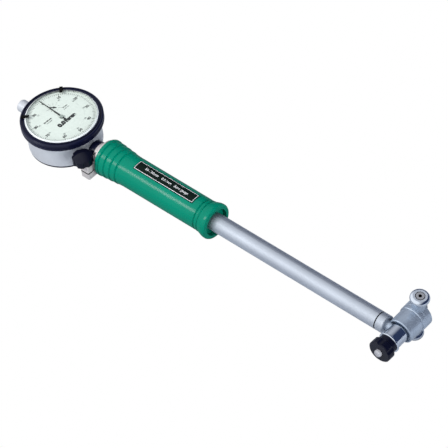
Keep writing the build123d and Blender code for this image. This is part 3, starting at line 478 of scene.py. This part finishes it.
def darken_box(material, low, high, inside):
    """A share inside a box, fading to one outside. Depth: the largest of |place - middle| - half."""
    tree = material.node_tree
    offset = node(tree, "ShaderNodeVectorMath", operation="SUBTRACT")
    tree.links.new(node(tree, "ShaderNodeTexCoord").outputs["Object"], offset.inputs[0])
    offset.inputs[1].default_value = (low + high) / 2
    size = node(tree, "ShaderNodeVectorMath", operation="ABSOLUTE")
    tree.links.new(offset.outputs["Vector"], size.inputs[0])
    past = node(tree, "ShaderNodeVectorMath", operation="SUBTRACT")
    tree.links.new(size.outputs["Vector"], past.inputs[0])
    past.inputs[1].default_value = (high - low) / 2
    apart = node(tree, "ShaderNodeSeparateXYZ")
    tree.links.new(past.outputs["Vector"], apart.inputs[0])
    depth = apart.outputs["X"]
    for label in ("Y", "Z"):
        larger = node(tree, "ShaderNodeMath", operation="MAXIMUM")
        tree.links.new(depth, larger.inputs[0])
        tree.links.new(apart.outputs[label], larger.inputs[1])
        depth = larger.outputs[0]
    scale_colour(material, spread(tree, depth, inside, 1.0, 0.0, joint_fade))


box_margin = 4 * mm
seam_half = 0.3 * mm
# Painted shade: colour share inside the seam's box.
seam_shade_share = 0.15
seam_low = Vector((tube_high.x - seam_half, tube_low.y - box_margin, tube_low.z - box_margin))
seam_high = Vector((tube_high.x + seam_half, tube_high.y + box_margin, tube_high.z + box_margin))
darken_box(looks["tube_metal"], seam_low, seam_high, seam_shade_share)

slit_drop = 3.8 * mm
slit_height = axis_height - slit_drop
slit_half = 0.5 * mm
slit_depth = 5.6 * mm
# Painted shade: colour share inside the slit's box.
slit_shade_share = 0.04
collar_low, collar_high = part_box("clamp_collar")
slit_low = Vector((collar_low.x - box_margin, collar_low.y - box_margin, slit_height - slit_half))
slit_high = Vector((collar_high.x + box_margin, collar_low.y + slit_depth, slit_height + slit_half))
darken_box(looks["collar_nickel"], slit_low, slit_high, slit_shade_share)
print("seam at x", round(tube_high.x / mm, 1), "mm, slit at z", round(slit_height / mm, 1), "mm")

# %% [markdown]
# ## Giving the pieces their finishes
# The model's record names a slot for each piece, so pieces of the same metal share one
# material. Each piece could be given its material by name, but the slots already say what
# goes together. Only a piece that has a look of its own takes that instead.

# %% Finishes onto pieces
slots = {part["node"]: part["material_slot"] for part in frame["record"]["subparts"]}
for name, piece in nodes.items():
    piece.data.materials.clear()
    piece.data.materials.append(own_looks.get(name, looks[slots[name]]))
print("finishes given to", len(slots), "pieces")


# %% [markdown]
# ## Flat print
# The dial's marks are printed ink, about a hundredth of a millimetre thick. They could be
# drawn in the enamel's material, but each one would need its own formula. Flat shapes
# just above the enamel are sharp from any distance, and they turn with the piece that
# carries them. Angles run clockwise from the side of the spindle cap, and the lettering
# stands upright for a reader who holds the gauge by its handle.

# %% Inks and places on the dial
ink = make_material("Printing ink", (0.02, 0.022, 0.022), 0.55, cloud=200, grain=3000, bump=1 * micron)
grey_ink = make_material("Grey ink", (0.16, 0.18, 0.17), 0.55, cloud=200, grain=3000, bump=1 * micron)
white_ink = make_material("White ink", (0.8, 0.8, 0.8), 0.5, cloud=200, grain=3000, bump=1 * micron)
ink_thickness = 0.012 * mm
print_height = dial_top + ink_thickness
upright = math.radians(90)


def on_dial(radius, degrees, centre=(0.0, 0.0)):
    """Place on the dial: minus radius times cosine along X, radius times sine along Y."""
    angle = np.radians(degrees)
    return centre[0] - radius * np.cos(angle), centre[1] + radius * np.sin(angle)


print("print lies at", round(print_height / mm, 3), "mm")


# %% [markdown]
# ## New pieces
# Every printed shape becomes a mesh object at the origin, with its place in its points.
# It rides on a body of the model, so that it moves with it, and takes its finish.
# Parenting the print to a piece by hand would move it too, but one function does this
# for all of them, and the model's own bodies stay the only movers.

# %% Pieces and strokes
def add_piece(name, mesh, material, body):
    """An object for a mesh, which rides on a body and takes a finish."""
    mesh.materials.clear()
    mesh.materials.append(material)
    piece = bpy.data.objects.new(name, mesh)
    bpy.context.scene.collection.objects.link(piece)
    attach(piece, body)
    return piece


def add_faces(name, points, faces, material, body):
    """A piece from an array of points and an array of faces."""
    mesh = bpy.data.meshes.new(name)
    mesh.from_pydata(points.tolist(), [], faces.tolist())
    mesh.update()
    return add_piece(name, mesh, material, body)


def ticks(name, degrees, inner, outer, width, body, centre=(0.0, 0.0)):
    """Radial strokes: four corners each, at both ends of the stroke, half a width to either side."""
    angle = np.radians(degrees)
    corners = []
    for radius, side in ((inner, -1), (outer, -1), (outer, 1), (inner, 1)):
        x, y = on_dial(radius, degrees, centre)
        x = x + side * width / 2 * np.sin(angle)
        y = y + side * width / 2 * np.cos(angle)
        corners.append(np.stack([x, y, np.full_like(x, print_height)], axis=1))
    points = np.stack(corners, axis=1).reshape(-1, 3)
    faces = np.arange(len(points)).reshape(-1, 4)
    return add_faces(name, points, faces[:, ::-1], ink, body)


print("strokes ready")

# %% [markdown]
# ## Lettering
# Numerals and words are set with Blender's own font. A text object would do for a
# picture, but it is made a mesh first, so that its place goes into its points and the
# label's words can be bent round the tube. Bold lettering is the same outline, moved
# outwards a little.

# %% Lettering
letter_curve_steps = 3


def words(name, text, size, place, material, body, height=print_height, turn=upright,
          bold=0.0, stretch=1.0):
    """Flat lettering: the text's outline thickened by bold, then stretched, turned and moved."""
    curve = bpy.data.curves.new(name, "FONT")
    curve.body = text
    curve.size = size
    curve.offset = bold
    curve.align_x = "CENTER"
    curve.align_y = "CENTER"
    curve.resolution_u = letter_curve_steps
    loose = bpy.data.objects.new(name, curve)
    mesh = bpy.data.meshes.new_from_object(loose)
    bpy.data.objects.remove(loose)
    mesh.transform(Matrix.Translation((place[0], place[1], height)) @ Matrix.Rotation(turn, 4, "Z")
                   @ Matrix.Diagonal((stretch, 1.0, 1.0, 1.0)))
    return add_piece(name, mesh, material, body)


print("lettering ready")

# %% [markdown]
# ## Main scale
# The outer ring of the dial has a hundred strokes, a longer and wider one at each five
# and ten, and it turns with the bezel to set the zero. In the photograph the ring is
# turned a few degrees. Each stroke could be an object of its own, but one mesh for all of
# them, computed as arrays, is quicker to make and to move.

# %% Main scale
ring_turn = 3.4
divisions = 100
degrees_per_stroke = 360 / divisions
stroke_outer = dial_rim - 3.0 * mm
# Each stroke's length and width.
ten_stroke = (2.2 * mm, 0.4 * mm)
five_stroke = (1.9 * mm, 0.32 * mm)
single_stroke = (1.5 * mm, 0.24 * mm)
numbers = np.arange(divisions)
strokes = np.where((numbers % 5 == 0)[:, None], five_stroke, single_stroke)
strokes = np.where((numbers % 10 == 0)[:, None], ten_stroke, strokes)
stroke_angles = numbers * degrees_per_stroke + ring_turn
ticks("dial_graduations", stroke_angles, stroke_outer - strokes[:, 0], stroke_outer, strokes[:, 1],
      "bezel_group")
print(divisions, "strokes inside", round(stroke_outer / mm, 2), "mm")

# %% [markdown]
# ## Numerals of the main scale
# Bold numerals count up by tens clockwise, and small grey ones count the other way, for
# bores that are read from the other side of zero. They stand upright in the photograph
# instead of leaning round the circle, so only their places follow the circle, and all of
# them share one turn.

# %% Numerals of the main scale
numeral_circle = stroke_outer - 4.0 * mm
numeral_size, numeral_bold = 2.9 * mm, 0.12 * mm
reverse_circle = stroke_outer - 6.5 * mm
reverse_size, reverse_bold = 1.7 * mm, 0.05 * mm
for number in range(0, divisions, 10):
    turn_here = number * degrees_per_stroke + ring_turn
    words(f"dial_numeral_{number // 10}", str(number), numeral_size, on_dial(numeral_circle, turn_here), ink,
          "bezel_group", bold=numeral_bold)
    if number:
        words(f"reverse_numeral_{number // 10}", str(divisions - number), reverse_size,
              on_dial(reverse_circle, turn_here), grey_ink, "bezel_group", bold=reverse_bold)
print("numerals on circles of", round(numeral_circle / mm, 2), "and", round(reverse_circle / mm, 2), "mm")

# %% [markdown]
# ## Counter scale
# The small hand counts whole turns of the large one on ten strokes of its own. Its circle
# is printed on the still centre of the dial, round the small hand's axis, so its middle
# is taken from that hand's joint.

# %% Counter scale
counter_centre = joints["counter_turn"]["pos_m"][:2]
counter_strokes = 10
counter_inner, counter_outer = 3.2 * mm, 4.1 * mm
counter_stroke_width = 0.24 * mm
counter_numeral_circle = 5.0 * mm
counter_numeral_size = 1.2 * mm
ticks("counter_graduations", np.arange(counter_strokes) * 360 / counter_strokes, counter_inner, counter_outer,
      counter_stroke_width, "gauge_body", counter_centre)
for number in range(0, counter_strokes, 2):
    place = on_dial(counter_numeral_circle, number * 360 / counter_strokes, counter_centre)
    words(f"counter_numeral_{number}", str(number), counter_numeral_size, place, ink, "gauge_body")
print("counter scale at", [round(value / mm, 2) for value in counter_centre], "mm")

# %% [markdown]
# ## Words on the dial
# The unit stands in heavy letters below the hub, and two pairs of small lines flank the
# small scale. The letters of the small lines are less than a millimetre high, so from a
# distance they are grey patches: plain words of the right length and weight do that, and
# can still be read from close by.

# %% Words on the dial
unit_place = (4.9 * mm, 0.0)
unit_size, unit_bold, unit_stretch = 4.3 * mm, 0.4 * mm, 1.1
words("dial_unit", "0.01mm", unit_size, unit_place, ink, "gauge_body", bold=unit_bold, stretch=unit_stretch)
# Each line's text, letter size, place and bold, in millimetres.
small_prints = {"small_print_left": ("50-150 mm", 1.5, (-5.0, -8.4), 0.12),
                "small_print_left_under": ("bore gauge", 1.1, (-3.2, -8.4), 0.03),
                "small_print_right": ("10 mm", 1.5, (-5.5, 8.5), 0.08),
                "small_print_right_under": ("0-100 units", 1.1, (-3.7, 8.5), 0.03)}
for name, (text, size, (x, y), bold) in small_prints.items():
    words(name, text, size * mm, (x * mm, y * mm), ink, "gauge_body", bold=bold * mm)
print("unit and", len(small_prints), "small lines")


# %% [markdown]
# ## Painted highlight on the crystal's bevel
# The crystal's sloping edge catches the light as a white ring inside the black bezel. A
# clear edge needs a real lamp in just the right place for that, and would lose it from
# other sides. So a painted highlight lies on the slope, a thin pale cone of two circles of
# points, the outer one lower.

# %% Painted highlight on the crystal's bevel
def cone_ring(name, inner, outer, top, fall, steps, material, body):
    """A cone's strip: a circle of points at the inner radius and one at the outer, lower by the fall."""
    degrees = np.linspace(0, 360, steps, endpoint=False)
    rows = []
    for radius, height in ((inner, top), (outer, top - fall)):
        x, y = on_dial(radius, degrees)
        rows.append(np.stack([x, y, np.full_like(x, height)], axis=1))
    here = np.arange(steps)
    after = (here + 1) % steps
    faces = np.stack([after, after + steps, here + steps, here], axis=1)
    return add_faces(name, np.concatenate(rows), faces, material, body)


crystal_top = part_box("crystal")[1].z
crystal_stand = crystal_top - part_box("bezel")[1].z
bevel_inner = dial_rim - 1.78 * mm
bevel_outer = dial_rim - 0.82 * mm
bevel_lift, bevel_sink = 0.01 * mm, 0.07 * mm
bevel_steps = 144
# Painted highlight: the cone's pale colour stands in for light caught by the crystal's edge.
bevel_highlight_white = make_material("Crystal bevel highlight", (0.64, 0.67, 0.66), 0.4, smudge=0.05, cloud=80, bump=1 * micron)
cone_ring("crystal_bevel_highlight", bevel_inner, bevel_outer, crystal_top + bevel_lift, crystal_stand + bevel_sink,
          bevel_steps, bevel_highlight_white, "bezel_group")
print("crystal stands", round(crystal_stand / mm, 2), "mm above the bezel")


# %% [markdown]
# ## Bending print round the handle
# The label is a foil on the handle's round back. Its border and words are made flat and
# then bent: the distance across the label becomes an angle round the tube axis, and the
# height becomes a radius. Bending points is exact and needs no modifier. The border's
# bars are cut into strips first, because a single face can't bend.

# %% Bending print round the handle
label_low, label_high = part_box("label_plate")
label_radius = label_high.z - axis_height
label_lift = 0.02 * mm


def wrap_on_label(piece):
    """Bends a flat piece: angle = y / radius, then y = radius sin(angle), z = axis + radius cos(angle)."""
    mesh = piece.data
    points = np.empty(len(mesh.vertices) * 3)
    mesh.vertices.foreach_get("co", points)
    points = points.reshape(-1, 3)
    radius = label_radius + label_lift
    angle = points[:, 1] / radius
    points[:, 2] = axis_height + radius * np.cos(angle)
    points[:, 1] = radius * np.sin(angle)
    mesh.vertices.foreach_set("co", points.ravel())
    mesh.update()


def label_bar(name, x0, x1, y0, y1, steps=24):
    """A bar of print from two rows of points along y, one at each x, joined strip by strip."""
    y = np.linspace(y0, y1, steps + 1)
    points = np.concatenate([np.stack([np.full_like(y, x), y, np.zeros_like(y)], axis=1) for x in (x0, x1)])
    i = np.arange(steps)
    faces = np.stack([i, i + steps + 1, i + steps + 2, i + 1], axis=1)
    wrap_on_label(add_faces(name, points, faces, white_ink, "gauge_body"))


print("label radius", round(label_radius / mm, 2), "mm")

# %% [markdown]
# ## Label print
# A thin white line runs round the label, a little inside its edge, and three groups of
# words stand in a row along it: the range, the step and the tool's name. The line could
# be a curve with a width, but four bars give square corners without an overlap.

# %% Label print
margin = 0.35 * mm
line = 0.28 * mm
letter_height = 2.7 * mm
label_x = (label_low.x + label_high.x) / 2
left, right = label_low.x + margin, label_high.x - margin
half_width = (label_high.y - label_low.y) / 2
bottom, top = -half_width + margin, half_width - margin
label_bar("label_border_rear", left, left + line, bottom, top)
label_bar("label_border_front", right - line, right, bottom, top)
label_bar("label_border_low", left + line, right - line, bottom, bottom + line, steps=2)
label_bar("label_border_high", left + line, right - line, top - line, top, steps=2)
# Each group's text and its place along the label from the middle, in millimetres.
label_words = {"label_range": ("50-150mm", -12.6), "label_step": ("0.01mm", 0.4),
               "label_use": ("Bore gauge", 13.2)}
for name, (text, along) in label_words.items():
    wrap_on_label(words(name, text, letter_height, (label_x + along * mm, 0.0), white_ink, "gauge_body",
                        height=0.0, turn=0.0))
print("label border and", len(label_words), "groups of words")


# %% [markdown]
# ## Background
# The photograph has a plain white background without a shadow. A strong lamp on a white
# floor would give that, and wash out the gauge as well. So the floor and the surround
# look white to the camera only, and light the gauge in other colours. Light Path tells the
# two apart.

# %% Background shares
def seen_share(tree, glossy_share):
    """One for what the camera sees, straight or through glass, and a share for what metal mirrors."""
    path = node(tree, "ShaderNodeLightPath")
    straight = node(tree, "ShaderNodeMath", operation="MAXIMUM")
    tree.links.new(path.outputs["Is Camera Ray"], straight.inputs[0])
    tree.links.new(path.outputs["Is Transmission Ray"], straight.inputs[1])
    mirrored = node(tree, "ShaderNodeMath", operation="MULTIPLY")
    tree.links.new(path.outputs["Is Glossy Ray"], mirrored.inputs[0])
    mirrored.inputs[1].default_value = glossy_share
    both = node(tree, "ShaderNodeMath", operation="MAXIMUM")
    tree.links.new(straight.outputs[0], both.inputs[0])
    tree.links.new(mirrored.outputs[0], both.inputs[1])
    return both.outputs[0]


def mix_by_seen(tree, glossy_share, hidden, seen, output):
    """Mixes a hidden shader and the one that the camera sees, and sends them to an output."""
    mix = node(tree, "ShaderNodeMixShader")
    tree.links.new(seen_share(tree, glossy_share), mix.inputs["Fac"])
    tree.links.new(hidden, mix.inputs[1])
    tree.links.new(seen, mix.inputs[2])
    tree.links.new(mix.outputs["Shader"], tree.nodes[output].inputs["Surface"])


white = (1.0, 1.0, 1.0, 1.0)
print("background shares ready")

# %% [markdown]
# ## Floor
# The gauge lies on a table, and its undersides show a dull reflection of it. The floor is
# a plain grey sheet at the lowest point of the gauge. It counts as the stage and not as a
# piece of the gauge. Metal mirrors only a twentieth of its white: a floor that is fully
# white there would wash out the dark undersides of the tube and the head.

# %% Floor
floor_reach = 6.0
floor_grey = (0.30, 0.32, 0.36, 1.0)
floor_glossy_share = 0.05
lowest = min(corner.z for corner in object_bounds())
floor_mesh = bpy.data.meshes.new("studio_floor")
floor_corners = [(x * floor_reach, y * floor_reach, lowest) for x, y in ((-1, -1), (1, -1), (1, 1), (-1, 1))]
floor_mesh.from_pydata(floor_corners, [], [(0, 1, 2, 3)])
floor = bpy.data.objects.new("studio_floor", floor_mesh)
bpy.context.scene.collection.objects.link(floor)
floor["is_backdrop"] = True
floor_look = bpy.data.materials.new("Studio floor")
floor_look.use_nodes = True
tree = floor_look.node_tree
shader = tree.nodes["Principled BSDF"]
shader.inputs["Base Color"].default_value = floor_grey
shader.inputs["Roughness"].default_value = 0.9
glow = node(tree, "ShaderNodeEmission", Color=white, Strength=1.0)
mix_by_seen(tree, floor_glossy_share, shader.outputs["BSDF"], glow.outputs["Emission"], "Material Output")
floor_mesh.materials.append(floor_look)
print("floor at", round(lowest / mm, 1), "mm")

# %% [markdown]
# ## Surround
# Polished metal shows what stands round it: in a photographer's studio, pale paper on one
# side and a dark room on the other. Real cards could be built for that. A world whose
# colour runs from dark to pale along one direction gives the same bright and dark bands
# on the tube and the head, without edges that show in the chrome.

# %% Surround
bright_side = Vector((-0.5, -0.65, 0.57)).normalized()
bright_wall = (1.05, 1.08, 1.13, 1.0)
dark_wall = (0.03, 0.045, 0.10, 1.0)
dark_end, bright_end = 0.1, 0.62
world = bpy.data.worlds.new("Studio surround")
bpy.context.scene.world = world
world.use_nodes = True
tree = world.node_tree
room = tree.nodes["Background"]
paper = node(tree, "ShaderNodeBackground", Color=white, Strength=1.0)
toward = node(tree, "ShaderNodeVectorMath", operation="DOT_PRODUCT")
tree.links.new(node(tree, "ShaderNodeTexCoord").outputs["Generated"], toward.inputs[0])
toward.inputs[1].default_value = bright_side
ramp = node(tree, "ShaderNodeValToRGB")
for stop, colour in zip(ramp.color_ramp.elements, (dark_wall, bright_wall)):
    stop.color = colour
tree.links.new(spread(tree, toward.outputs["Value"], 0.0, 1.0, dark_end, bright_end), ramp.inputs["Fac"])
tree.links.new(ramp.outputs["Color"], room.inputs["Color"])
mix_by_seen(tree, 0.0, room.outputs["Background"], paper.outputs["Background"], "World Output")
print("surround is bright towards", [round(value, 2) for value in bright_side])


# %% [markdown]
# ## Lamps
# Three soft lamps give the light: a key from the upper left, a fill from beyond the head
# and a weak one from behind. They are too small to look right in polished metal, where
# they would be hard white spots, so they are hidden from glossy reflections, and the
# surround is seen there. A small glint lamp at the key's place puts back a little sparkle.
# The black and green mouldings need a brighter streak than the metals, so one lamp is
# linked to them alone.

# %% Lamps
key_place = (-0.36, -0.56, 0.56)
fill_place = (1.0, -0.1, 0.35)
rear_place = (0.45, 0.75, 0.3)
gauge_middle = Vector((0.14, 0.0, 0.01))


def soft_light(name, place, width, height, power, colour=(1.0, 1.0, 1.0)):
    """A rectangular lamp at a place, turned to face the middle of the gauge."""
    data = bpy.data.lights.new(name, "AREA")
    data.shape = "RECTANGLE"
    data.size = width
    data.size_y = height
    data.energy = power
    data.color = colour
    lamp = bpy.data.objects.new(name, data)
    lamp.location = place
    lamp.rotation_euler = (gauge_middle - Vector(place)).to_track_quat("-Z", "Y").to_euler()
    bpy.context.scene.collection.objects.link(lamp)
    return lamp


key_light = soft_light("key_light", key_place, width=0.3, height=0.3, power=4.6)
fill_light = soft_light("fill_light", fill_place, width=0.5, height=0.4, power=9.0, colour=(0.94, 0.97, 1.0))
rear_light = soft_light("rear_light", rear_place, width=0.4, height=0.4, power=2.5, colour=(0.96, 0.98, 1.0))
soft_light("glint_light", key_place, width=0.14, height=0.14, power=0.9)
moulding_light = soft_light("moulding_light", key_place, width=0.2, height=0.2, power=4.2)
for lamp in (key_light, fill_light, rear_light):
    lamp.visible_glossy = False
mouldings = bpy.data.collections.new("mouldings")
for name in ("handle", "clamp_knob", "lock_nut", "bezel", "stem_ring"):
    mouldings.objects.link(nodes[name])
moulding_light.light_linking.receiver_collection = mouldings

# %% [markdown]
# ## Camera
# The photograph was taken with a long lens from above and to one side of the head, so
# that the tube runs down to the right and the dial is a leaning ellipse. The camera could
# be placed by eye. Its place, turn and lens were found by fitting the outlines of the
# dial, the tube and the head instead, so that the model lies over the photograph.

# %% Camera
camera_place = (0.826589, -0.641449, 1.03329)
camera_turn = (42.3098, 4.7896, 41.492)
lens_length = 172.995
sensor_width = 36.0
nearest = 10 * mm
camera_data = bpy.data.cameras.new("catalogue_camera")
camera_data.sensor_width = sensor_width
camera_data.lens = lens_length
camera_data.clip_start = nearest
camera = bpy.data.objects.new("catalogue_camera", camera_data)
bpy.context.scene.collection.objects.link(camera)
camera.location = camera_place
camera.rotation_euler = Euler([math.radians(angle) for angle in camera_turn], "XYZ")
bpy.context.scene.camera = camera
print("camera stands", round(camera.location.length, 2), "m from the dial")

# %% [markdown]
# ## Output
# The picture is square, in plain display colours. Light that polished metal throws on
# other pieces comes out as stray specks in a short render, so those caustics are off and
# very bright indirect light is held down.

# %% Output
picture_side = 448
brightest_bounce = 1.0
scene = bpy.context.scene
scene.render.resolution_x = picture_side
scene.render.resolution_y = picture_side
scene.view_settings.view_transform = "Standard"
scene.cycles.caustics_reflective = False
scene.cycles.sample_clamp_indirect = brightest_bounce
